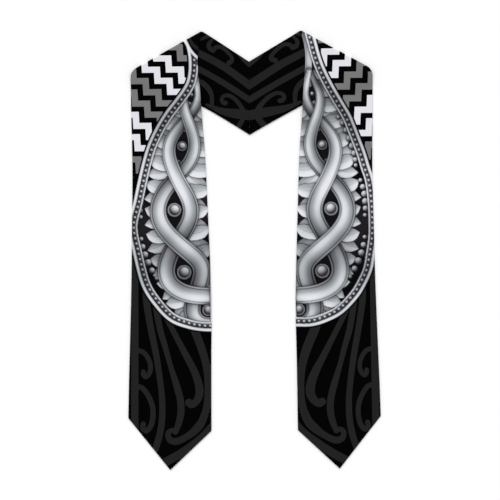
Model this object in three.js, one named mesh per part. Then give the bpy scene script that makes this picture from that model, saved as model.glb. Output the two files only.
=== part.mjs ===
// A graduation stole laid flat. Two long tapering strips of cloth meet in a mitred seam at
// the centre back, fold over at the shoulders and lie side by side with pointed ends. Each
// strip is a printed face and a lining, so the neck band, which lies underneath, shows its
// lining. Millimetres, +Z up, +Y towards the neck, +X to the right, the cloth rests on z = 0.
import * as THREE from 'three';

// Driving sizes of the outline, as the stole lies
const stoleLength = 780;          // from the peaks of the shoulder folds to the tips
const shoulderSpan = 430;         // across the outer ends of the two shoulder folds
const shoulderDrop = 70;          // from the peak of a fold down to its outer end
const shoulderPanelWidth = 127;   // one panel where it leaves its fold
const hemSpan = 449;              // across the outer corners of the two pointed ends
const hemPanelWidth = 147.5;      // one panel at the corners of its pointed end
const outerPointRise = 93;        // from the tip up to the outer corner of the point
const innerPointRise = 69;        // from the tip up to the inner corner of the point
const notchDrop = 55;             // from the peaks down to the top of the centre seam
const centreSeamLength = 130;     // the centre back seam, which is the depth of the neck band
const bandEdgeBow = 4;            // how far the neck band's lower edge curves upwards
const seamOffset = 4.4;           // how far to the left of the middle the centre seam lies
const seamReach = 75;             // on each side of the middle, what the seam draws with it
const shoulderRounding = 20;      // radius of the outer corner of a shoulder, from above
const peakRounding = 6;           // radius of the peak of a shoulder fold, from above

// Driving sizes of the cloth
const clothThickness = 1;         // the face, and the lining
const layerGap = 0.3;             // clearance between face and lining, and at the centre seam
const foldClearance = 1.3;        // between the two lining layers inside a shoulder fold
const drapeLength = 36;           // over which a panel sinks to the floor past the neck band

// Edges of a panel from the fold to the point. "down" is the share of the panel's length,
// "spread" the share of the way from the shoulder span to the hem span, and "taper" the
// share of the way from the width at the shoulder to the width at the hem.
const panelEdges = [
  { down: 0.00, spread: 0.00, taper: 0.00 },
  { down: 0.03, spread: 0.00, taper: -0.26 },
  { down: 0.06, spread: -0.01, taper: -0.38 },
  { down: 0.10, spread: -0.02, taper: -0.34 },
  { down: 0.14, spread: -0.06, taper: -0.22 },
  { down: 0.20, spread: -0.14, taper: -0.14 },
  { down: 0.30, spread: -0.17, taper: 0.10 },
  { down: 0.45, spread: 0.00, taper: 0.39 },
  { down: 0.60, spread: 0.19, taper: 0.66 },
  { down: 0.70, spread: 0.38, taper: 0.82 },
  { down: 0.80, spread: 0.60, taper: 0.87 },
  { down: 0.90, spread: 0.82, taper: 0.94 },
  { down: 1.00, spread: 1.00, taper: 1.00 },
];
const pointStart = 0.7;           // share of the panel past which its rows bend to the point

// Facets of the cloth: steps along the band, round the fold, down the panel and across
const bandSteps = 8;
const foldSteps = 8;
const panelSteps = 46;
const acrossSteps = 8;

const { lerp, smoothstep } = THREE.MathUtils;

// Corners of the right-hand half, seen from above
const seamX = layerGap / 2;
const shoulderX = shoulderSpan / 2;
const peakY = stoleLength / 2;
const tipY = -stoleLength / 2;
const peak = new THREE.Vector2(shoulderX - shoulderPanelWidth, peakY);
const shoulder = new THREE.Vector2(shoulderX, peakY - shoulderDrop);
const notch = new THREE.Vector2(seamX, peakY - notchDrop);
const seamFoot = new THREE.Vector2(seamX, notch.y - centreSeamLength);

// Heights of the middle of the two layers: in the band and on the floor, at the axis of the
// fold, and in the panel where it lies on the band
const halfStack = clothThickness + layerGap / 2;
const foldRadius = halfStack + foldClearance / 2;
const floorHeight = halfStack;
const axisHeight = floorHeight + foldRadius;
const overBandHeight = axisHeight + foldRadius;

// The fold's axis lies parallel to the shoulder edge, so far in that the turned face cloth
// reaches the edge
const foldAlong = shoulder.clone().sub(peak).normalize();
const foldInward = new THREE.Vector2(foldAlong.y, -foldAlong.x);
const axisDepth = foldRadius + halfStack;

// The point on the fold's axis that is reached from a corner of the fold by an edge of the
// cloth that runs from that corner in the given direction
function onAxis(corner, direction) {
  const slip = axisDepth * direction.dot(foldAlong) / direction.dot(foldInward);
  return corner.clone().addScaledVector(foldAlong, slip).addScaledVector(foldInward, axisDepth);
}

const downwards = new THREE.Vector2(0, -1);
const panelOuterStart = onAxis(shoulder, downwards);
const panelInnerStart = onAxis(peak, downwards);
const bandLowerEnd = onAxis(shoulder, seamFoot.clone().sub(shoulder).normalize());
const bandUpperEnd = onAxis(peak, notch.clone().sub(peak).normalize());

// Lower edge of the neck band, from the centre seam (0) to the fold (1)
function bandLowerEdge(along) {
  const point = seamFoot.clone().lerp(bandLowerEnd, along);
  point.y += bandEdgeBow * 4 * along * (1 - along);
  return point;
}

// Moves a point of the plan inwards so that a corner between two straight edges, given by
// their outward normals, becomes an arc. Points near the arc's centre stay, and those on the
// edges reach the arc.
function roundCorner(point, corner, normals, radius) {
  const [first, second] = normals;
  const depth = radius / (1 + first.dot(second));
  const centre = corner.clone().addScaledVector(first, -depth).addScaledVector(second, -depth);
  const ray = point.clone().sub(centre);
  const length = ray.length();
  const turn = first.cross(second);
  const betweenNormals = first.cross(ray) * turn > 0 && ray.cross(second) * turn > 0;
  if (!betweenNormals) return point;
  const edgeLength = radius * length / Math.max(ray.dot(first), ray.dot(second));
  const reach = Math.min(length / edgeLength, 1);
  const shrink = 1 - (1 - radius / edgeLength) * reach * reach;
  return centre.addScaledVector(ray, shrink);
}

const foldNormal = foldInward.clone().negate();
const sideNormal = new THREE.Vector2(1, 0);
const bandRun = notch.clone().sub(peak).normalize();
const bandNormal = new THREE.Vector2(bandRun.y, -bandRun.x);

// The stole's outline with its rounded shoulders and peaks
function rounded(plan) {
  const atShoulder = roundCorner(plan, shoulder, [sideNormal, foldNormal], shoulderRounding);
  return roundCorner(atShoulder, peak, [foldNormal, bandNormal], peakRounding);
}

// The neck band lies face down: "offset" counts from the middle of the layers to the face
function bandPoint(along, across, offset) {
  const lower = bandLowerEdge(along);
  const upper = notch.clone().lerp(bandUpperEnd, along);
  const plan = rounded(lower.lerp(upper, across));
  return new THREE.Vector3(plan.x, plan.y, floorHeight - offset);
}

// Half a turn round the fold's axis, with the face outside
function foldPoint(turn, across, offset) {
  const outer = bandLowerEnd.clone().lerp(panelOuterStart, turn);
  const inner = bandUpperEnd.clone().lerp(panelInnerStart, turn);
  const angle = (turn - 0.5) * Math.PI;
  const radius = foldRadius + offset;
  const flat = outer.lerp(inner, across).addScaledVector(foldInward, -radius * Math.cos(angle));
  const plan = rounded(flat);
  return new THREE.Vector3(plan.x, plan.y, axisHeight + radius * Math.sin(angle));
}

// Value of a column of panelEdges at a share of the panel's length, by a smooth curve
// through the rows
function edgeShare(column, down) {
  const last = panelEdges.length - 1;
  let row = 0;
  while (row < last - 1 && down > panelEdges[row + 1].down) row += 1;
  const at = (index) => panelEdges[Math.min(Math.max(index, 0), last)];
  const span = at(row + 1).down - at(row).down;
  const slope = (index) => {
    const rise = at(index + 1)[column] - at(index - 1)[column];
    return rise / (at(index + 1).down - at(index - 1).down);
  };
  const t = (down - at(row).down) / span;
  const startPull = t * (1 - t) * (1 - t) * span * slope(row);
  const endPull = t * t * (t - 1) * span * slope(row + 1);
  return lerp(at(row)[column], at(row + 1)[column], t * t * (3 - 2 * t)) + startPull + endPull;
}

// Height of the middle of a panel's layers: on the band, then sinking to the floor
function panelHeight(x, y) {
  const along = THREE.MathUtils.clamp((x - seamX) / (bandLowerEnd.x - seamX), 0, 1);
  const pastBand = bandLowerEdge(along).y - y;
  return lerp(overBandHeight, floorHeight, smoothstep(pastBand, 0, drapeLength));
}

// A panel lies face up. Its rows start parallel to the fold and end in the two slanted edges
// of the point.
function panelPoint(down, across, offset) {
  const outerX = lerp(shoulderX, hemSpan / 2, edgeShare('spread', down));
  const width = lerp(shoulderPanelWidth, hemPanelWidth, edgeShare('taper', down));
  const outerY = lerp(panelOuterStart.y, tipY + outerPointRise, down);
  const innerY = lerp(panelInnerStart.y, tipY + innerPointRise, down);
  const tent = 1 - Math.abs(2 * across - 1);
  const bend = Math.max(0, (down - pointStart) / (1 - pointStart));
  const tipDrop = (outerPointRise + innerPointRise) / 2;
  const x = outerX - width * across;
  const y = lerp(outerY, innerY, across) - tipDrop * tent * bend;
  const plan = rounded(new THREE.Vector2(x, y));
  return new THREE.Vector3(plan.x, plan.y, panelHeight(x, y) + offset);
}

// The rows of a strip from the centre seam to the tip, each a function of the share across
// the strip and of the offset towards the face
const stripRows = [];
for (let step = 0; step < bandSteps; step += 1) {
  stripRows.push((across, offset) => bandPoint(step / bandSteps, across, offset));
}
for (let step = 0; step <= foldSteps; step += 1) {
  stripRows.push((across, offset) => foldPoint(step / foldSteps, across, offset));
}
for (let step = 1; step <= panelSteps; step += 1) {
  stripRows.push((across, offset) => panelPoint(step / panelSteps, across, offset));
}

// The neck band lies a little to the left, most at its seam and no longer at the panels
function offCentre(x) {
  return x - seamOffset * Math.max(0, 1 - Math.abs(x) / seamReach);
}

// A closed layer of cloth between two offsets: a ring of points at every row, joined to the
// next ring, with both ends capped. "side" is 1 for the right-hand strip, -1 for the left.
function clothLayer(innerOffset, outerOffset, side) {
  const positions = [];
  const shareAt = (step) => (1 - Math.cos(Math.PI * step / acrossSteps)) / 2;
  for (const rowPoint of stripRows) {
    const ring = [];
    for (let step = 0; step <= acrossSteps; step += 1) {
      ring.push(rowPoint(shareAt(step), innerOffset));
    }
    for (let step = acrossSteps; step >= 0; step -= 1) {
      ring.push(rowPoint(shareAt(step), outerOffset));
    }
    for (const point of ring) positions.push(offCentre(side * point.x), point.y, point.z);
  }

  const ringSize = 2 * (acrossSteps + 1);
  const triangles = [];
  const addQuad = (a, b, c, d) => {
    if (side > 0) triangles.push(a, b, c, a, c, d);
    else triangles.push(a, c, b, a, d, c);
  };
  // Both faces of the layer are cut along the same diagonals, so that they stay parallel
  for (let row = 0; row < stripRows.length - 1; row += 1) {
    for (let corner = 0; corner < ringSize; corner += 1) {
      const next = (corner + 1) % ringSize;
      const here = row * ringSize;
      const beyond = here + ringSize;
      if (corner <= acrossSteps) addQuad(here + corner, beyond + corner, beyond + next, here + next);
      else addQuad(beyond + corner, beyond + next, here + next, here + corner);
    }
  }
  const lastRing = (stripRows.length - 1) * ringSize;
  for (let step = 0; step < acrossSteps; step += 1) {
    const opposite = ringSize - 1 - step;
    addQuad(step, step + 1, opposite - 1, opposite);
    addQuad(lastRing + opposite, lastRing + opposite - 1, lastRing + step + 1, lastRing + step);
  }

  const geometry = new THREE.BufferGeometry();
  geometry.setAttribute('position', new THREE.Float32BufferAttribute(positions, 3));
  geometry.setIndex(triangles);
  geometry.computeVertexNormals();
  return geometry;
}

// The face cloth, printed in black, silver and grey
function makeFace(name, side) {
  const satin = new THREE.MeshStandardMaterial({ color: 0x1a1a1c, roughness: 0.5, metalness: 0 });
  const face = new THREE.Mesh(clothLayer(layerGap / 2, halfStack, side), satin);
  face.name = name;
  return face;
}

// The lining, printed in dark grey on black
function makeLining(name, side) {
  const satin = new THREE.MeshStandardMaterial({ color: 0x0c0c0d, roughness: 0.6, metalness: 0 });
  const lining = new THREE.Mesh(clothLayer(-halfStack, -layerGap / 2, side), satin);
  lining.name = name;
  return lining;
}

const stole = new THREE.Group();
stole.add(makeFace('face_left', -1));
stole.add(makeFace('face_right', 1));
stole.add(makeLining('lining_left', -1));
stole.add(makeLining('lining_right', 1));

// The origin is the centre of the outline
const outline = new THREE.Box3().setFromObject(stole);
stole.position.y = -(outline.min.y + outline.max.y) / 2;

export default stole;
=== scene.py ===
"""A printed graduation stole, lying flat: two lined strips folded at the shoulders."""

import math

import bpy
import numpy as np
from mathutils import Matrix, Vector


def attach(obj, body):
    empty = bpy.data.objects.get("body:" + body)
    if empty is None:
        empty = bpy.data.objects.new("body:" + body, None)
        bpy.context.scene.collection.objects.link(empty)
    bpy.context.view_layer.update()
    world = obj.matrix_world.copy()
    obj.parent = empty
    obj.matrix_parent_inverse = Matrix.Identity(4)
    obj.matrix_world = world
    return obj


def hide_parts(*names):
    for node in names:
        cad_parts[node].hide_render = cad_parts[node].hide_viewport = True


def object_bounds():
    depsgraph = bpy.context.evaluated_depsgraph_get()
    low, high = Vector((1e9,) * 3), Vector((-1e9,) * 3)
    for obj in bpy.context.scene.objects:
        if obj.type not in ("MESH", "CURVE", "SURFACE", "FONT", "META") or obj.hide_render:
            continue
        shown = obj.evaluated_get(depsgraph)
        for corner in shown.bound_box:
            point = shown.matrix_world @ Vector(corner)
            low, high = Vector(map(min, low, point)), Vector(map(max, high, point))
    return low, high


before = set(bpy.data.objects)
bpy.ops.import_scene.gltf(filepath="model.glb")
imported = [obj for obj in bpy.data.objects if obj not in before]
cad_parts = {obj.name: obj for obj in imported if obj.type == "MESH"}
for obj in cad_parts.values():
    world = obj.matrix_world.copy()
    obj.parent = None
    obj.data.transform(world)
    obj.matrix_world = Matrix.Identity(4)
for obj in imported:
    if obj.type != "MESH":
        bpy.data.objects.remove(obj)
cad_low, cad_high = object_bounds()

# The stole lies on a white table. The camera hangs over it and looks straight down, and a
# wide soft light stands behind the neck end, so that shadows fall short towards the points.
mm = (cad_high.x - cad_low.x) / 449.0
picture_side = 890 * mm
lens_length = 100.0
sensor_side = 36.0
camera_height = picture_side * lens_length / sensor_side
camera_data = bpy.data.cameras.new("overhead_camera")
camera_data.lens = lens_length
camera_data.sensor_width = sensor_side
camera_data.clip_end = 50.0
camera = bpy.data.objects.new("overhead_camera", camera_data)
camera.location = (-5.5 * mm, 0.3 * mm, camera_height)
camera.rotation_euler = (0.0, 0.0, math.radians(-0.5))
bpy.context.scene.collection.objects.link(camera)
bpy.context.scene.camera = camera

key_data = bpy.data.lights.new("key_light", "SUN")
key_data.angle = math.radians(40)
key_data.energy = 1.6
key = bpy.data.objects.new("key_light", key_data)
key.location = (-0.5, 2.5, 3.0)
key.rotation_euler = (math.radians(-52), math.radians(-8), 0.0)
bpy.context.scene.collection.objects.link(key)

world = bpy.data.worlds.new("studio")
world.use_nodes = True
world.node_tree.nodes["Background"].inputs["Color"].default_value = (1.0, 1.0, 1.0, 1.0)
world.node_tree.nodes["Background"].inputs["Strength"].default_value = 0.71
bpy.context.scene.world = world
bpy.context.scene.view_settings.view_transform = "Standard"

floor_half = 4.0
floor_drop = 0.1 * mm
floor_mesh = bpy.data.meshes.new("floor")
floor_corners = [(-1, -1), (1, -1), (1, 1), (-1, 1)]
floor_mesh.from_pydata(
    [(x * floor_half, y * floor_half, -floor_drop) for x, y in floor_corners], [], [(0, 1, 2, 3)]
)
floor = bpy.data.objects.new("floor", floor_mesh)
bpy.context.scene.collection.objects.link(floor)
floor_finish = bpy.data.materials.new("white_table")
floor_finish.use_nodes = True
floor_shader = floor_finish.node_tree.nodes["Principled BSDF"]
floor_shader.inputs["Base Color"].default_value = (0.985, 0.985, 0.985, 1.0)
floor_shader.inputs["Roughness"].default_value = 0.9
floor_shader.inputs["Specular IOR Level"].default_value = 0.0
floor_mesh.materials.append(floor_finish)


# The face cloths. Each is one long tapering strip of satin, cut with a pointed end, that
# runs from the mitred seam at the centre back, face down under the neck band, over the
# shoulder fold, and face up down the panel. Its edges are turned in and pressed flat.
shoulder_x = 215.0 * mm
shoulder_drop = 70.0 * mm
shoulder_width = 127.0 * mm
hem_x = 224.5 * mm
hem_width = 147.5 * mm
outer_point_rise = 93.0 * mm
inner_point_rise = 69.0 * mm
notch_drop = 55.0 * mm
centre_seam = 130.0 * mm
band_bow = 4.0 * mm
seam_offset = 4.4 * mm
seam_reach = 75.0 * mm
shoulder_rounding = 20.0 * mm
peak_rounding = 6.0 * mm
cloth_thickness = 1.0 * mm
layer_gap = 0.3 * mm
fold_clearance = 1.3 * mm
drape_length = 36.0 * mm
point_start = 0.7
edge_thinning = 0.55
edge_reach = 1.3 * mm
ripple_height = 0.14 * mm
ripple_start = 2.12
ripple_run = 0.2

tip_y = cad_low.y
peak_y = tip_y + 780.0 * mm
seam_x = 0.03 * mm
half_stack = cloth_thickness + layer_gap / 2
fold_radius = half_stack + fold_clearance / 2
floor_height = half_stack
axis_height = floor_height + fold_radius
over_band_height = axis_height + fold_radius
axis_depth = fold_radius + half_stack

peak = np.array([shoulder_x - shoulder_width, peak_y])
shoulder = np.array([shoulder_x, peak_y - shoulder_drop])
notch = np.array([seam_x, peak_y - notch_drop])
seam_foot = np.array([seam_x, peak_y - notch_drop - centre_seam])
fold_along = (shoulder - peak) / np.linalg.norm(shoulder - peak)
fold_inward = np.array([fold_along[1], -fold_along[0]])
band_run = (notch - peak) / np.linalg.norm(notch - peak)
band_normal = np.array([band_run[1], -band_run[0]])
side_normal = np.array([1.0, 0.0])

# Shares down a panel, of the way from shoulder span to hem span, and from shoulder width to
# hem width, as the cut of the strip gives them
panel_down = np.array([0.00, 0.03, 0.06, 0.10, 0.14, 0.20, 0.30, 0.45, 0.60, 0.70, 0.80, 0.90, 1.00])
panel_spread = np.array([0.00, 0.00, -0.01, -0.02, -0.06, -0.14, -0.17, 0.00, 0.19, 0.38, 0.60, 0.82, 1.00])
panel_taper = np.array([0.00, -0.26, -0.38, -0.34, -0.22, -0.14, 0.10, 0.39, 0.66, 0.82, 0.87, 0.94, 1.00])


def on_axis(corner, toward):
    """Where an edge leaving a fold's corner towards a point meets the axis of the fold."""
    direction = (toward - corner) / np.linalg.norm(toward - corner)
    slip = axis_depth * (direction @ fold_along) / (direction @ fold_inward)
    return corner + slip * fold_along + axis_depth * fold_inward


below = np.array([0.0, -1.0])
panel_outer_start = on_axis(shoulder, shoulder + below)
panel_inner_start = on_axis(peak, peak + below)
band_lower_end = on_axis(shoulder, seam_foot)
band_upper_end = on_axis(peak, notch)


def mix(start, end, share):
    """start at share 0, end at share 1, and straight between."""
    return start + (end - start) * share


def smooth_step(value):
    """0 below 0, 1 above 1, and 3v^2 - 2v^3 between."""
    held = np.clip(value, 0, 1)
    return held * held * (3 - 2 * held)


def through_rows(shares, values, at):
    """A cubic through the rows of a table, whose slope at a row is that of its neighbours."""
    slopes = np.gradient(values, shares)
    slopes[1:-1] = (values[2:] - values[:-2]) / (shares[2:] - shares[:-2])
    row = np.clip(np.searchsorted(shares, at, side="right") - 1, 0, len(shares) - 2)
    span = shares[row + 1] - shares[row]
    t = (at - shares[row]) / span
    pull = t * (1 - t) * ((1 - t) * slopes[row] - t * slopes[row + 1]) * span
    return mix(values[row], values[row + 1], t * t * (3 - 2 * t)) + pull


def band_lower_edge(along):
    """Plan of the neck band's lower edge: a straight line with a low parabola on it."""
    x = mix(seam_foot[0], band_lower_end[0], along)
    y = mix(seam_foot[1], band_lower_end[1], along) + band_bow * 4 * along * (1 - along)
    return x, y


def round_corner(x, y, corner, first, second, radius):
    """Draws the points of a sharp corner in towards the centre of an arc that touches both of
    its edges: a point on the edges comes to the arc, and one near the centre stays."""
    centre = corner - (first + second) * radius / (1 + first @ second)
    dx, dy = x - centre[0], y - centre[1]
    length = np.hypot(dx, dy) + 1e-12
    turn = first[0] * second[1] - first[1] * second[0]
    after_first = (first[0] * dy - first[1] * dx) * turn > 0
    before_second = (dx * second[1] - dy * second[0]) * turn > 0
    toward_edge = np.maximum(dx * first[0] + dy * first[1], dx * second[0] + dy * second[1])
    edge_length = radius * length / np.maximum(toward_edge, 1e-9)
    reach = np.minimum(length / edge_length, 1)
    shrink = 1 - (1 - radius / edge_length) * reach**2
    shrink = np.where(after_first & before_second, shrink, 1)
    return centre[0] + dx * shrink, centre[1] + dy * shrink


def edge_softness(distance):
    """Share of its thickness that cloth keeps near a turned edge: 1 less a bell curve."""
    return 1 - edge_thinning * np.exp(-((distance / edge_reach) ** 2))


def ripple(x, y):
    """Height of the pressed cloth's faint long waves: two bent sines multiplied, plus 1."""
    slow = np.sin(x / (31 * mm) + 1.3 * np.sin(y / (93 * mm)))
    cross = np.sin(y / (47 * mm) + 0.9 * np.sin(x / (58 * mm)))
    return ripple_height * (1 + slow * cross)


def strip_surface(row, across, offset):
    """Points of the right-hand strip. row runs 0 to 1 along the neck band, to 2 round the
    fold and to 3 down the panel; across is the share from the outer edge to the inner one;
    offset is the height above the middle of the two layers, towards the face. The last two
    results are the plan of the cloth as if it were unfolded at the shoulder."""
    row, across, offset = np.broadcast_arrays(row, across, offset)
    along = np.clip(row, 0, 1)
    turn = np.clip(row - 1, 0, 1)
    down = np.clip(row - 2, 0, 1)
    to_side = np.minimum(across, 1 - across) * (shoulder_width + hem_width) / 2
    to_end = np.minimum(along * 240 * mm, (1 - down) * 600 * mm)
    keep = edge_softness(np.minimum(to_side, to_end))
    core = layer_gap / 2
    lifted = np.sign(offset) * (core + (np.abs(offset) - core) * keep)

    low_x, low_y = band_lower_edge(along)
    band_x = mix(low_x, mix(notch[0], band_upper_end[0], along), across)
    band_y = mix(low_y, mix(notch[1], band_upper_end[1], along), across)

    outer = [mix(band_lower_end[i], panel_outer_start[i], turn) for i in (0, 1)]
    inner = [mix(band_upper_end[i], panel_inner_start[i], turn) for i in (0, 1)]
    angle = (turn - 0.5) * math.pi
    radius = fold_radius + lifted
    fold = [mix(outer[i], inner[i], across) for i in (0, 1)]
    fold_x = fold[0] - radius * np.cos(angle) * fold_inward[0]
    fold_y = fold[1] - radius * np.cos(angle) * fold_inward[1]

    edge_x = mix(shoulder_x, hem_x, through_rows(panel_down, panel_spread, down))
    width = mix(shoulder_width, hem_width, through_rows(panel_down, panel_taper, down))
    outer_y = mix(panel_outer_start[1], tip_y + outer_point_rise, down)
    inner_y = mix(panel_inner_start[1], tip_y + inner_point_rise, down)
    tent = 1 - np.abs(2 * across - 1)
    bend = np.clip((down - point_start) / (1 - point_start), 0, 1)
    panel_x = edge_x - width * across
    panel_y = mix(outer_y, inner_y, across) - (outer_point_rise + inner_point_rise) / 2 * tent * bend

    band_share = np.clip((panel_x - seam_x) / (band_lower_end[0] - seam_x), 0, 1)
    past_band = band_lower_edge(band_share)[1] - panel_y
    panel_height = mix(over_band_height, floor_height, smooth_step(past_band / drape_length))

    on_band, on_fold = row <= 1, row < 2
    x = np.where(on_band, band_x, np.where(on_fold, fold_x, panel_x))
    y = np.where(on_band, band_y, np.where(on_fold, fold_y, panel_y))
    z = np.where(
        on_band,
        floor_height - lifted,
        np.where(on_fold, axis_height + radius * np.sin(angle), panel_height + lifted),
    )
    settled = smooth_step((row - ripple_start) / ripple_run)
    z = z + ripple(x, y) * settled

    half_turn = math.pi * fold_radius
    beyond = np.where(on_band, half_turn, np.where(on_fold, half_turn * (1 - turn), 0))
    depth = (x - peak[0]) * fold_inward[0] + (y - peak[1]) * fold_inward[1] - axis_depth
    mirrored = np.where(on_band, 2 * depth, 0)
    flat_x = np.where(on_band | ~on_fold, x, fold[0]) - (mirrored + beyond) * fold_inward[0]
    flat_y = np.where(on_band | ~on_fold, y, fold[1]) - (mirrored + beyond) * fold_inward[1]

    x, y = round_corner(x, y, shoulder, side_normal, -fold_inward, shoulder_rounding)
    x, y = round_corner(x, y, peak, -fold_inward, band_normal, peak_rounding)
    return x, y, z, flat_x, flat_y


def off_centre(x):
    """The neck band lies a little to the left: fully at its seam, not at all at the panels."""
    return x - seam_offset * np.maximum(0, 1 - np.abs(x) / seam_reach)


def edge_crowded(count, edge_steps, edge_width):
    """Shares from 0 to 1, evenly spread but with extra steps within edge_width of each end."""
    inside = np.linspace(edge_width, 1 - edge_width, count)
    lead = np.linspace(0, edge_width, edge_steps, endpoint=False)
    return np.concatenate([lead, inside, 1 - lead[::-1]])


def cloth_layer(name, side, rows, columns, back_columns, front_offset, back_offset):
    """A closed sheet of cloth: at every row of the strip a ring of points runs along the
    front at the fine columns and back along the coarse ones, rings are joined by quads, and
    both ends are capped by a fan that steps along the two sides. Returns the object and, for
    each of its points, its row, its plan and its unfolded plan."""
    ring_across = np.concatenate([columns, back_columns[::-1]])
    ring_offset = np.concatenate(
        [np.full(len(columns), front_offset), np.full(len(back_columns), back_offset)]
    )
    x, y, z, flat_x, flat_y = strip_surface(rows[:, None], ring_across, ring_offset)
    size = len(ring_across)
    points = np.stack([off_centre(side * x), y, z], axis=-1).reshape(-1, 3)

    start = (np.arange(len(rows) - 1) * size)[:, None]
    here = np.arange(size)[None, :]
    after = (here + 1) % size
    quads = np.stack([start + here, start + size + here, start + size + after, start + after], -1)
    quads = quads.reshape(-1, 4)
    step = np.arange(len(columns) - 1)
    beside = np.round(np.arange(len(columns)) * (len(back_columns) - 1) / (len(columns) - 1))
    beside = size - 1 - beside.astype(int)
    fan = np.stack([step, step + 1, beside[step]], -1)
    moves = step[beside[step] != beside[step + 1]]
    fill = np.stack([moves + 1, beside[moves + 1], beside[moves]], -1)
    cap = np.concatenate([fan, fill])
    end_cap = cap[:, ::-1] + (len(rows) - 1) * size
    triangles = np.concatenate([cap, end_cap])
    if (side > 0) == (front_offset > back_offset):
        quads, triangles = quads[:, ::-1], triangles[:, ::-1]

    mesh = bpy.data.meshes.new(name)
    mesh.from_pydata(points.tolist(), [], quads.tolist() + triangles.tolist())
    mesh.shade_smooth()
    mesh.update()
    cloth = bpy.data.objects.new(name, mesh)
    bpy.context.scene.collection.objects.link(cloth)
    row_of_point = np.broadcast_to(rows[:, None], x.shape).ravel()
    return cloth, row_of_point, (x.ravel(), y.ravel()), (flat_x.ravel(), flat_y.ravel())


def store(cloth, name, values):
    """Keeps one number for each point of the cloth, for its material to read."""
    made = cloth.data.attributes.new(name, "FLOAT", "POINT")
    made.data.foreach_set("value", np.ascontiguousarray(values, np.float32))


# The print of the face is dyed into the cloth while it is flat. It is drawn in millimetres:
# "out" counts from the middle of the stole to its side, and "down" from the peaks. A form is
# kept as its distance to its own edge, so that the material can cut it sharp at any size.
def smooth_path(points, steps=7):
    """A Catmull-Rom curve through the rows of a table, with a few steps between two rows."""
    points = np.asarray(points, float)
    before_first = 2 * points[:1] - points[1:2]
    after_last = 2 * points[-1:] - points[-2:-1]
    padded = np.concatenate([before_first, points, after_last])
    t = np.linspace(0, 1, steps, endpoint=False)[:, None]
    pieces = []
    for before, start, end, after in zip(padded, padded[1:], padded[2:], padded[3:]):
        bend = 2 * before - 5 * start + 4 * end - after
        twist = 3 * start - before - 3 * end + after
        pieces.append(start + 0.5 * t * ((end - before) + t * (bend + t * twist)))
    return np.concatenate(pieces + [points[-1:]])


def along_path(out, down, path, half_widths, round_ends=True):
    """Distance of each point outside a stroke's edge (below 0 inside), its place across the
    stroke from -1 to 1, and its share along it, by the nearest segment of the path."""
    best = np.full(out.shape, 1e9)
    across = np.zeros(out.shape)
    share = np.zeros(out.shape)
    count = len(path) - 1
    places = np.linspace(0, 1, len(half_widths))
    half_widths = np.interp(np.linspace(0, 1, count + 1), places, half_widths)
    for index in range(count):
        start, run = path[index], path[index + 1] - path[index]
        length_squared = run @ run + 1e-12
        dx, dy = out - start[0], down - start[1]
        t = (dx * run[0] + dy * run[1]) / length_squared
        held = np.clip(t, 0, 1)
        half = mix(half_widths[index], half_widths[index + 1], held)
        away = np.hypot(dx - held * run[0], dy - held * run[1])
        distance = away - half
        nearer = distance < best
        best = np.where(nearer, distance, best)
        lateral = (dx * run[1] - dy * run[0]) / math.sqrt(length_squared)
        across = np.where(nearer, np.clip(lateral / half, -1, 1), across)
        share = np.where(nearer, (index + held) / count, share)
    if not round_ends:
        for end, inner in ((path[0], path[1]), (path[-1], path[-2])):
            dx, dy = out - end[0], down - end[1]
            beyond = dx * (inner[0] - end[0]) + dy * (inner[1] - end[1]) < 0
            beside = np.hypot(dx, dy) < 1.6 * half_widths.max()
            best = np.where(beyond & beside, 1e9, best)
    return best, across, share


def inside_outline(out, down, path):
    """Distance outside a closed outline, below 0 inside, by an even-odd count of crossings."""
    away = np.full(out.shape, 1e9)
    inside = np.zeros(out.shape, bool)
    for start, end in zip(path, np.roll(path, -1, axis=0)):
        run = end - start
        dx, dy = out - start[0], down - start[1]
        t = np.clip((dx * run[0] + dy * run[1]) / (run @ run + 1e-12), 0, 1)
        away = np.minimum(away, np.hypot(dx - t * run[0], dy - t * run[1]))
        spans = (start[1] > down) != (end[1] > down)
        crossing = start[0] + run[0] * dy / (run[1] + 1e-12)
        inside ^= spans & (out < crossing)
    return np.where(inside, -away, away)


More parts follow.
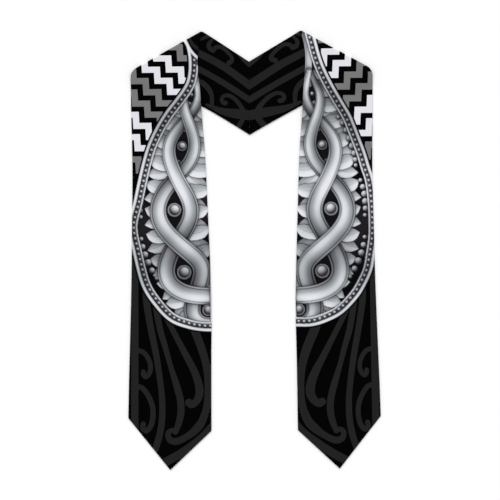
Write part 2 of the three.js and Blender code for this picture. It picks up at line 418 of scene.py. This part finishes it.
# Dark grey scrolls of the lower panel: widths along each stroke, then its curve
panel_scrolls = {
    "side band": (
        [13, 13],
        [(211, 395), (211.5, 520), (213, 690), (213, 745)],
    ),
    "upper hook": (
        [8.5, 8.5, 8.5],
        [
            (209, 566), (196, 571), (187, 584), (184, 598), (187, 609), (193, 614), (197, 610),
            (197, 605),
        ],
    ),
    "lower hook": (
        [9, 9.5, 9.5],
        [
            (210, 630), (198, 635), (187, 651), (181, 669), (181, 687), (185, 702), (193, 710),
            (199, 705), (198, 698),
        ],
    ),
    "side stem": (
        [13, 10.5, 12],
        [
            (190, 440), (190.5, 478), (183, 528), (173.5, 578), (166.5, 628), (164, 657),
            (164.5, 689), (169, 717), (177, 743),
        ],
    ),
    "middle stem": (
        [11, 11, 10, 8.8, 12, 12.5, 12.5, 11.5, 9],
        [
            (177, 470), (167, 528), (157.5, 562), (149, 594), (138, 630), (131.5, 657),
            (131, 679), (135, 697), (141, 713),
        ],
    ),
    "great hook": (
        [15, 14.3, 12.4, 12.5, 15, 11.5, 12.5, 10, 8.5],
        [
            (112, 510), (106.5, 528), (94, 562), (86, 590), (82.5, 618), (82.5, 649), (86, 673),
            (93, 693), (100, 703.5), (110.5, 714), (121, 721), (131, 726.5), (141, 729.5),
            (150, 727), (154, 720), (153, 713), (147, 709.5),
        ],
    ),
    "inner hook": (
        [9, 10, 12.5, 14.5, 12.5, 13.5],
        [
            (160, 500), (151, 518), (133.5, 552), (120, 578), (106, 606), (98.5, 630), (98, 647),
            (104, 659), (111.5, 664), (116.5, 660.5),
        ],
    ),
    "hem crescent": (
        [15, 15],
        [(73, 701.5), (88, 718), (97, 726), (106, 733.5), (119.5, 743), (137, 754), (159, 766)],
    ),
    "peak scrap": (
        [6, 7],
        [(112, 14), (99, 29), (84, 36)],
    ),
}

# On the right the scrolls sit a little further out, by so much at so many millimetres
scroll_shift_at = [85, 115, 180, 205]
scroll_shift = [0, 4.2, 4.2, 2.7]

# The zigzag of the shoulders: a staircase that steps down towards the middle, repeated. One
# corner of it and its fall are given for the left side (-1) and the right side (1)
stair_run = 21.3
stair_fall = {-1: 19.85, 1: 20.7}
stair_out = {-1: 183.0, 1: 185.5}
stair_down = {-1: 102.8, 1: 74.7}
stair_lean = 0.05
stair_lean_from = 82.0
stair_gap_across = 0.53
stair_gap_down = 0.54
stair_first, stair_last = -3, 4
stair_foot = 260
stair_inner_end = 104

# Outline of the silver field on each side, from the shoulder fold round to the inner edge
silver_outline = {
    -1: [
        (130, 6), (121.5, 18), (116.0, 27), (112.8, 41), (111.5, 58), (112.5, 75), (116, 90),
        (124, 104.5), (135, 119), (152, 140), (169.5, 167), (186, 201), (196.5, 235), (204.5, 268),
        (212, 302), (222, 346), (214, 393), (199, 452), (176, 489), (149.5, 516), (117.5, 529),
        (89, 534), (60, 534),
    ],
    1: [
        (106, -16), (111, 2), (115.5, 19), (121, 40.5), (128.5, 63), (138.5, 85), (150.5, 107.5),
        (164, 130), (176.5, 152), (185.5, 174.5), (194, 197), (202, 219), (208.5, 241.5), (217, 270),
        (222, 320), (222, 365), (217.5, 398), (212, 427), (201, 452), (186, 476), (160, 503),
        (134, 517.5), (105, 526.5), (77, 527), (60, 526),
    ],
}
silver_inner_side = {
    -1: [(60, 62), (84, 52), (96, 44), (107, 31), (115, 15), (122, 4)],
    1: [(44, 62), (40, 20), (56, -26), (84, -40), (102, -34)],
}
rim_width = 6.0
groove_width = 7.0
inner_rim_width = 4.0
outline_width = 2.6
bead_pitch = 9.5
bead_radius = 3.2

# The field's plait: its middle line, and its reach and half width at shares along it
plait_spine = [
    (102, 72), (108, 118), (117, 165), (128, 222), (138, 285), (138, 350), (128, 412), (108, 462),
    (84, 494), (50, 514),
]
plait_crossings = 5
plait_shares = np.array([0.0, 0.2, 0.4, 0.6, 0.8, 1.0])
plait_reach = np.array([8.0, 17.0, 26.0, 31.0, 30.0, 22.0])
plait_half_width = np.array([5.0, 9.5, 13.0, 15.5, 15.5, 12.0])
boss_share = 0.86
leaf_angles = (0.15, 0.8, 1.4)
leaf_length = {-1: 78, 1: 66}
leaf_half_widths = [5, 13, 12, 1.0]
head_leaf = [(101, 104), (98, 72), (98, 40), (101, 12), (108, -14)]
head_half_widths = [4, 9, 11, 12, 10]
pearl_strings = [
    [(150, 150), (165, 172), (176, 200), (183, 226), (184, 246)],
    [(190, 262), (198, 286), (201, 312), (199, 336)],
    [(200, 362), (195, 390), (184, 418), (168, 446)],
]
pearl_least = 3.2
pearl_growth = 3.4
shadow_length = 2.8


def half_round(across, light_side=-0.35):
    """Brightness across a polished half-round strip: a wide highlight off its middle, a
    thin reflected one by the far edge and darker flanks."""
    main = np.exp(-(((across - light_side) / 0.62) ** 2))
    far = 0.2 * np.exp(-(((across - 0.84) / 0.12) ** 2))
    return 0.5 + 0.44 * main + far - 0.14 * np.abs(across) ** 6


def dome(out, down, centre, radius):
    """Brightness of a polished dome lit from the upper inner side, with a dark far flank."""
    dx, dy = (out - centre[0]) / radius, (down - centre[1]) / radius
    height = np.sqrt(np.clip(1 - dx**2 - dy**2, 0, 1))
    facing = -0.35 * dx - 0.55 * dy + 0.76 * height
    return 0.18 + 0.74 * np.clip(facing, 0, 1) ** 1.4 + 0.12 * (1 - height) ** 3


def draw_silver(out, down, side):
    """The silver field, painted form over form. Returns the distance outside the field, the
    brightness of what lies on top, and the distance to the nearest edge between two forms."""
    outline = smooth_path(silver_outline[side], 5)
    field = np.concatenate([outline, smooth_path(silver_inner_side[side], 4)])
    field_edge = inside_outline(out, down, field)
    tone = 0.04 + 0.05 * np.sin(down / 29 + out / 23)
    edge = np.full(out.shape, 9.0)

    def lay(distance, brightness, shadow=shadow_length, depth=0.5, ground=1.0):
        """Paints a form over what is there, with a soft shadow round it that fades as e^-d."""
        nonlocal tone, edge
        inside = distance < 0
        fallen = tone * (1 - depth * ground * np.exp(-np.clip(distance, 0, None) / shadow))
        tone = np.where(inside, brightness, fallen)
        edge = np.where(inside, -distance, np.minimum(edge, distance))

    # Fans of long leaves fill the ground on both sides of the plait
    spine = smooth_path(plait_spine, 8)
    turns = np.gradient(spine, axis=0)
    turns /= np.linalg.norm(turns, axis=1, keepdims=True)
    for index in range(1, len(spine) - 1, 5):
        for flank in (-1, 1):
            normal = np.array([turns[index, 1], -turns[index, 0]]) * flank
            for angle in leaf_angles:
                swing = turns[index] * math.cos(angle) + normal * math.sin(angle)
                curl = turns[index] * math.cos(angle + 0.9) + normal * math.sin(angle + 0.9)
                length = leaf_length[flank] - 14 * angle
                root = spine[index] + normal * 8
                middle = root + swing * length * 0.5
                tip = root + swing * length * 0.75 + curl * length * 0.28
                leaf = smooth_path([root, middle, tip])
                distance, across, share = along_path(out, down, leaf, leaf_half_widths)
                blade = 1.0 - 0.42 * smooth_step((across * flank + 0.85) / 1.7) + 0.06 * share
                vein = 0.16 * np.exp(-((across / 0.06) ** 2))
                lay(distance, blade - vein)

    # One broad leaf closes the head of the field
    distance, across, share = along_path(out, down, smooth_path(head_leaf), head_half_widths)
    vein = 0.16 * np.exp(-((across / 0.06) ** 2))
    lay(distance, 0.95 - 0.5 * smooth_step((across + 0.85) / 1.7) - vein)

    # Strings of graded pearls in the dark hollows towards the side
    for string in pearl_strings:
        run = smooth_path(string, 4)
        for index in range(1, len(run) - 1, 2):
            radius = pearl_least + pearl_growth * math.sin(math.pi * index / (len(run) - 1))
            away = np.hypot(out - run[index, 0], down - run[index, 1])
            lay(away - radius, dome(out, down, run[index], radius), shadow=1.6)

    # Two broad ribbons cross and cross again; what passes under is drawn first
    shares = np.linspace(0, 1, 145)
    spread = through_rows(plait_shares, plait_reach, shares)
    ribbon_half = through_rows(plait_shares, plait_half_width, shares)
    spine_shares = np.linspace(0, 1, len(spine))
    centre = np.stack([np.interp(shares, spine_shares, spine[:, i]) for i in (0, 1)], -1)
    heading = np.gradient(centre, axis=0)
    heading /= np.linalg.norm(heading, axis=1, keepdims=True)
    sideways = np.stack([heading[:, 1], -heading[:, 0]], -1)
    sway = np.sin(shares * plait_crossings * math.pi)
    ribbons = [centre + sideways * (sign * sway * spread)[:, None] for sign in (1, -1)]
    cuts = [(k + 0.5) / plait_crossings for k in range(-1, plait_crossings + 1)]
    eyes = []
    for k in range(plait_crossings):
        at = (k + 0.5) / plait_crossings
        middle = np.array([np.interp(at, shares, centre[:, i]) for i in (0, 1)])
        radius = np.interp(at, shares, spread - ribbon_half) * boss_share
        eyes.append((middle, radius))
        lay(np.hypot((out - middle[0]) * 1.5, down - middle[1]) - 3 * radius, 0.03, depth=0)
    reaches = [along_path(out, down, ribbon[::3], ribbon_half[::3])[0] for ribbon in ribbons]
    whole = np.minimum(*reaches)
    tone = tone * (1 - 0.5 * np.exp(-np.clip(whole, 0, None) / shadow_length))
    edge = np.minimum(edge, np.abs(whole))
    for passing_over in (False, True):
        for k in range(plait_crossings + 1):
            spare = 0.004 if passing_over else 0.016
            chosen = (shares >= cuts[k] - spare) & (shares <= cuts[k + 1] + spare)
            if chosen.sum() < 3:
                continue
            piece = ribbons[(k + passing_over) % 2][chosen]
            distance, across, share = along_path(out, down, piece, ribbon_half[chosen], False)
            turned = 1 - 2 * ((k + passing_over) % 2)
            crossing = 0.5 + 0.5 * np.cos((share - 0.5) * 2 * math.pi)
            lift = 1 + (0.1 if passing_over else -0.38) * crossing
            groove = 0.35 * np.exp(-(((np.abs(across) - 0.74) / 0.07) ** 2))
            brightness = half_round(across * turned) * lift - groove
            lay(distance, brightness, depth=0.5 * passing_over, ground=whole < 0)

    # A boss sits in each eye of the plait, in a ring of its own
    for middle, radius in eyes:
        away = np.hypot(out - middle[0], down - middle[1])
        ring_across = np.clip((away / radius - 0.86) / 0.14, -1, 1)
        lay(away - radius, 0.2 + 0.55 * half_round(ring_across))
        lay(away - radius * 0.7, dome(out, down, middle, radius * 0.7))

    # The border: a plain rim, a dark groove full of beads, and a thin inner rim
    depth_in = -field_edge
    inner_edge = rim_width + groove_width
    border_half = (inner_edge + inner_rim_width) / 2
    across = (depth_in - inner_edge - inner_rim_width / 2) / (inner_rim_width / 2)
    inner_rim = half_round(np.clip(across, -1, 1), 0.2)
    border = np.where(depth_in > inner_edge, inner_rim, 0.3)
    lay(np.abs(depth_in - border_half) - border_half, border)
    rail_turn = np.gradient(outline, axis=0)
    rail_turn /= np.linalg.norm(rail_turn, axis=1, keepdims=True)
    inward = np.stack([-rail_turn[:, 1], rail_turn[:, 0]], -1)
    bead_line = outline + inward * (rim_width + groove_width / 2)
    steps = np.concatenate([[0], np.cumsum(np.linalg.norm(np.diff(bead_line, axis=0), axis=1))])
    share = along_path(out, down, bead_line, [1, 1])[2]
    along = np.interp(share * (len(steps) - 1), np.arange(len(steps)), steps)
    nearest = np.round(along / bead_pitch) * bead_pitch
    bead = [np.interp(nearest, steps, bead_line[:, i]) for i in (0, 1)]
    away = np.hypot(out - bead[0], down - bead[1])
    lay(away - bead_radius, dome(out, down, bead, bead_radius), shadow=1.2)
    rim_across = (depth_in - rim_width / 2) / (rim_width / 2)
    lay(depth_in - rim_width, half_round(np.clip(rim_across, -1, 1), -0.1) * 1.05, shadow=2.0)
    sweep = 0.9 + 0.14 * np.sin(down / 41 + 1.1) + 0.06 * np.sin(out / 13 - down / 19)
    return field_edge, np.clip(tone * sweep, 0, 1), edge


def stroke_field(out, down, strokes):
    """Distance outside the union of a table of strokes."""
    best = np.full(out.shape, 1e3)
    for widths, points in strokes.values():
        distance = along_path(out, down, smooth_path(points), np.array(widths) / 2)[0]
        best = np.minimum(best, distance)
    return best


def print_face(cloth, side, unfolded):
    """Writes the face print's fields, worked out on the unfolded plan, to the cloth."""
    out = unfolded[0] / mm
    down = (peak_y - unfolded[1]) / mm
    silver, tone, edge = draw_silver(out, down, side)
    shift = np.interp(out, scroll_shift_at, scroll_shift) if side > 0 else 0
    scroll = stroke_field(out - shift, down, panel_scrolls)
    store(cloth, "cut_x", unfolded[0])
    store(cloth, "cut_y", unfolded[1])
    store(cloth, "silver", silver)
    store(cloth, "tone", tone)
    store(cloth, "form_edge", edge)
    store(cloth, "scroll", scroll)
    lean = stair_lean * (down - stair_lean_from)
    store(cloth, "stair_across", (stair_out[side] - out - lean) / stair_run)
    store(cloth, "stair_down", (down - stair_down[side]) / stair_fall[side])
    store(cloth, "stair_field", np.maximum(down - stair_foot, stair_inner_end - out))


# One weave serves both cloths: a satin whose long floats run down the strip
# Painted shade: the weave's colour is darkened where its threads lie low and lightened on their tops, by
# this share.
painted_thread_shade = 0.035
thread_height = 0.00004
thread_bump = 0.35
satin_gloss = 0.015


def math_node(tree, operation, *values):
    """One step of arithmetic in a node tree, on plain numbers or on other nodes' outputs."""
    node = tree.nodes.new("ShaderNodeMath")
    node.operation = operation
    for socket, value in zip(node.inputs, values):
        if isinstance(value, (int, float)):
            socket.default_value = value
        else:
            tree.links.new(value, socket)
    return node.outputs[0]


def make_satin_weave():
    """Node group: threads at a pitch along and across, as a height, and a shade of random mottling with
    painted shade that darkens the low parts of the threads.
    """
    group = bpy.data.node_groups.new("satin_weave", "ShaderNodeTree")
    group.interface.new_socket("Pitch", in_out="INPUT", socket_type="NodeSocketFloat")
    group.interface.new_socket("Mottle", in_out="INPUT", socket_type="NodeSocketFloat")
    group.interface.new_socket("Height", in_out="OUTPUT", socket_type="NodeSocketFloat")
    group.interface.new_socket("Shade", in_out="OUTPUT", socket_type="NodeSocketFloat")
    nodes, links = group.nodes, group.links

    def maths(operation, *values):
        return math_node(group, operation, *values)

    given = nodes.new("NodeGroupInput")
    result = nodes.new("NodeGroupOutput")
    place = nodes.new("ShaderNodeTexCoord")
    cut_x = nodes.new("ShaderNodeAttribute")
    cut_x.attribute_name = "cut_x"
    cut_y = nodes.new("ShaderNodeAttribute")
    cut_y.attribute_name = "cut_y"

    turn = maths("DIVIDE", 2 * math.pi, given.outputs["Pitch"])
    warp = maths("SINE", maths("MULTIPLY", cut_x.outputs["Fac"], turn))
    slant = maths("MULTIPLY_ADD", cut_x.outputs["Fac"], 2.0, cut_y.outputs["Fac"])
    tie = maths("SINE", maths("MULTIPLY", slant, maths("DIVIDE", turn, 2.5)))
    tie = maths("POWER", maths("ABSOLUTE", tie), 6.0)
    height = maths("SUBTRACT", warp, maths("MULTIPLY", tie, 0.8))
    links.new(height, result.inputs["Height"])
    cloud = nodes.new("ShaderNodeTexNoise")
    cloud.inputs["Scale"].default_value = 38.0
    cloud.inputs["Detail"].default_value = 5.0
    links.new(place.outputs["Object"], cloud.inputs["Vector"])
    swing = maths("SUBTRACT", cloud.outputs["Fac"], 0.5)
    swing = maths("MULTIPLY", swing, given.outputs["Mottle"])
    # Painted shade of the threads: lighter colour on their tops, darker in the dips between them.
    painted_thread_shading = maths("MULTIPLY_ADD", height, painted_thread_shade, 0.98)
    links.new(maths("ADD", swing, painted_thread_shading), result.inputs["Shade"])
    return group


satin_weave = make_satin_weave()


def linear(red, green, blue):
    """Linear colour of a colour given as it shows on a screen, 0 to 255."""
    shares = [c / 255 for c in (red, green, blue)]
    return tuple(((s + 0.055) / 1.055) ** 2.4 if s > 0.04 else s / 12.92 for s in shares) + (1.0,)


class PrintedSatin:
    """A satin's material, with short ways to add the nodes that its print is built from."""

    def __init__(self, name):
        self.material = bpy.data.materials.new(name)
        self.material.use_nodes = True
        self.tree = self.material.node_tree
        self.nodes = self.material.node_tree.nodes
        self.links = self.material.node_tree.links
        self.shader = self.nodes["Principled BSDF"]

    def read(self, attribute):
        """The number that the cloth keeps under a name at each point."""
        node = self.nodes.new("ShaderNodeAttribute")
        node.attribute_name = attribute
        return node.outputs["Fac"]

    def maths(self, operation, *values):
        return math_node(self.tree, operation, *values)

    def inside(self, distance, shift=0.0, softness=0.3):
        """1 where a distance in millimetres is below shift, 0 above, with a short ramp."""
        scaled = self.maths("DIVIDE", self.maths("SUBTRACT", shift, distance), softness)
        node = self.nodes.new("ShaderNodeClamp")
        self.links.new(self.maths("ADD", scaled, 0.5), node.inputs["Value"])
        return node.outputs[0]

    def blend(self, share, under, over, mode="MIX"):
        """The colour under at share 0, the colour over (or their product) at share 1."""
        node = self.nodes.new("ShaderNodeMix")
        node.data_type = "RGBA"
        node.blend_type = mode
        sockets = (node.inputs[0], node.inputs[6], node.inputs[7])
        for socket, value in zip(sockets, (share, under, over)):
            if isinstance(value, (int, float, tuple)):
                socket.default_value = value
            else:
                self.links.new(value, socket)
        return node.outputs[2]

    def weave(self, colour, pitch, mottle, roughness):
        """Puts the random mottling and the painted thread shade on the colour and its threads in the bump,
        and sets the gloss.
        """
        node = self.nodes.new("ShaderNodeGroup")
        node.node_tree = satin_weave
        node.inputs["Pitch"].default_value = pitch
        node.inputs["Mottle"].default_value = mottle
        # The colour takes the random mottling and the painted thread shade.
        mottled_and_thread_shaded = self.blend(1.0, colour, node.outputs["Shade"], "MULTIPLY")
        self.links.new(mottled_and_thread_shaded, self.shader.inputs["Base Color"])
        bump = self.nodes.new("ShaderNodeBump")
        bump.inputs["Strength"].default_value = thread_bump
        bump.inputs["Distance"].default_value = thread_height
        self.links.new(node.outputs["Height"], bump.inputs["Height"])
        self.links.new(bump.outputs["Normal"], self.shader.inputs["Normal"])
        self.shader.inputs["Roughness"].default_value = roughness
        self.shader.inputs["Specular IOR Level"].default_value = satin_gloss


print_black = linear(2, 2, 2)
scroll_grey = linear(34, 34, 34)
stair_grey = linear(122, 122, 122)
stair_white = linear(228, 228, 234)
form_line = (0.17, 0.16, 0.17, 1.0)
form_line_width = 0.55
form_line_softness = 0.8
silver_stops = [
    (0.0, (8, 7, 8)),
    (0.2, (56, 52, 56)),
    (0.42, (118, 121, 125)),
    (0.62, (168, 173, 177)),
    (0.82, (210, 213, 218)),
    (1.0, (234, 234, 240)),
]


def make_face_satin():
    """Black satin printed with scrolls, then zigzags, then the silver field and its outline."""
    satin = PrintedSatin("printed_face_satin")
    colour = satin.blend(satin.inside(satin.read("scroll")), print_black, scroll_grey)

    # A flight is the whole number under half of (down less whole steps across). The same sum
    # with the steps moved by the black gap falls short of it only inside the printed stair
    across, down = satin.read("stair_across"), satin.read("stair_down")
    upper = satin.maths("SUBTRACT", down, satin.maths("FLOOR", across))
    flight = satin.maths("FLOOR", satin.maths("DIVIDE", upper, 2.0))
    moved = satin.maths("FLOOR", satin.maths("ADD", across, stair_gap_across))
    lower = satin.maths("SUBTRACT", satin.maths("SUBTRACT", down, moved), stair_gap_down)
    lower = satin.maths("DIVIDE", lower, 2.0)
    printed = satin.maths("LESS_THAN", lower, flight)
    order = satin.maths("FLOORED_MODULO", satin.maths("SUBTRACT", flight, stair_first), 4.0)
    from_middle = satin.maths("ABSOLUTE", satin.maths("SUBTRACT", order, 1.5))
    white = satin.maths("LESS_THAN", from_middle, 1.0)
    kept = satin.maths("MULTIPLY", printed, satin.inside(satin.read("stair_field")))
    kept = satin.maths("MULTIPLY", kept, satin.maths("GREATER_THAN", flight, stair_first - 0.5))
    kept = satin.maths("MULTIPLY", kept, satin.maths("LESS_THAN", flight, stair_last + 0.5))
    colour = satin.blend(kept, colour, satin.blend(white, stair_grey, stair_white))

    field = satin.read("silver")
    colour = satin.blend(satin.inside(field, outline_width), colour, print_black)
    ramp = satin.nodes.new("ShaderNodeValToRGB")
    stops = ramp.color_ramp.elements
    for index, (place, shade) in enumerate(silver_stops):
        stop = stops[index] if index < 2 else stops.new(place)
        stop.position = place
        stop.color = linear(*shade)
    satin.links.new(satin.read("tone"), ramp.inputs[0])
    near_edge = satin.inside(satin.read("form_edge"), form_line_width, form_line_softness)
    lined = satin.blend(near_edge, ramp.outputs[0], form_line, "MULTIPLY")
    colour = satin.blend(satin.inside(field), colour, lined)
    satin.weave(colour, pitch=0.00045, mottle=0.1, roughness=0.62)
    return satin.material


face_satin = make_face_satin()
face_rows = np.concatenate(
    [
        np.linspace(0, 1, 20, endpoint=False),
        np.linspace(1, 2, 22, endpoint=False),
        np.linspace(2, 3, 600),
    ]
)
face_columns = edge_crowded(112, 5, 0.014)
back_columns = edge_crowded(9, 1, 0.004)
for side, hand in ((-1, "left"), (1, "right")):
    face, row, plan, unfolded = cloth_layer(
        f"face_cloth_{hand}",
        side,
        face_rows,
        face_columns,
        back_columns,
        half_stack,
        layer_gap / 2,
    )
    print_face(face, side, unfolded)
    face.data.materials.append(face_satin)
    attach(face, "root")
    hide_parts(f"face_{hand}")


# The linings. Each is cut like its face cloth and lies under it on the panels; past the
# fold it comes up, and it is what shows as the neck band, where its print is turned out.
band_scrolls = {
    "upper chevron": (
        [11, 13, 14],
        [(100, 36), (91, 40.7), (45, 65.5), (-6, 101)],
    ),
    "lower chevron": (
        [10.5, 10.5, 11],
        [(100, 64), (88, 70.6), (45, 94.7), (-6, 126.5)],
    ),
    "peak bar": (
        [6, 6],
        [(92, 15), (73, 8.3)],
    ),
    "peak curl": (
        [5.5, 8, 9],
        [(69, 15.3), (75.5, 23), (73.7, 31), (67.4, 34.3)],
    ),
    "peak hook": (
        [8, 7, 6.5, 9],
        [(67.4, 33.7), (60.4, 28.6), (51.5, 29.3), (41.3, 37), (33, 46.4), (32.4, 53.4), (38, 57)],
    ),
    "notch point": (
        [3, 8, 12],
        [(19.7, 43.2), (9.5, 51.5), (-4, 61)],
    ),
    "side arc": (
        [9, 9.5, 7],
        [(92, 90), (87, 92.8), (77, 102.3), (71.2, 115), (70.5, 131.6)],
    ),
    "lower crescent": (
        [5, 12, 17, 18],
        [(80, 131), (58, 140.5), (38.8, 145.5), (19.7, 148), (-5, 151.3)],
    ),
    "seam hook": (
        [9, 8, 6.5, 8.5],
        [
            (21, 171), (13.3, 158), (11.4, 144.3), (17.2, 132.8), (27.3, 121.4), (38.8, 115),
            (49, 116.3), (52.1, 122.7), (49, 127.8), (45.1, 128.4),
        ],
    ),
}

# On the right this print sits a little wider and higher than its mirror image
band_out_here = [-20.0, 42.4, 242.4]
band_out_there = [-17.0, 36.04, 236.04]
band_lift_at = [0, 36]
band_lift = [0, 3.5]


def make_lining_satin():
    """Black satin with dark grey scrolls printed on the stretch that is turned out."""
    satin = PrintedSatin("printed_lining_satin")
    colour = satin.blend(satin.inside(satin.read("scroll")), print_black, scroll_grey)
    satin.weave(colour, pitch=0.0005, mottle=0.16, roughness=0.66)
    return satin.material


lining_satin = make_lining_satin()
lining_rows = np.concatenate(
    [
        np.linspace(0, 1, 190, endpoint=False),
        np.linspace(1, 2, 16, endpoint=False),
        np.linspace(2, 3, 110),
    ]
)
lining_columns = edge_crowded(96, 4, 0.014)
for side, hand in ((-1, "left"), (1, "right")):
    lining, row, plan, unfolded = cloth_layer(
        f"lining_cloth_{hand}",
        side,
        lining_rows,
        lining_columns,
        back_columns,
        -half_stack,
        -layer_gap / 2,
    )
    out = plan[0] / mm
    down = (peak_y - plan[1]) / mm
    if side > 0:
        out = np.interp(out, band_out_here, band_out_there)
        down = down + np.interp(out, band_lift_at, band_lift)
    scroll = stroke_field(out, down, band_scrolls)
    store(lining, "scroll", np.where(row < 1.9, scroll, 1e3))
    store(lining, "cut_x", unfolded[0])
    store(lining, "cut_y", unfolded[1])
    lining.data.materials.append(lining_satin)
    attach(lining, "root")
    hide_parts(f"lining_{hand}")
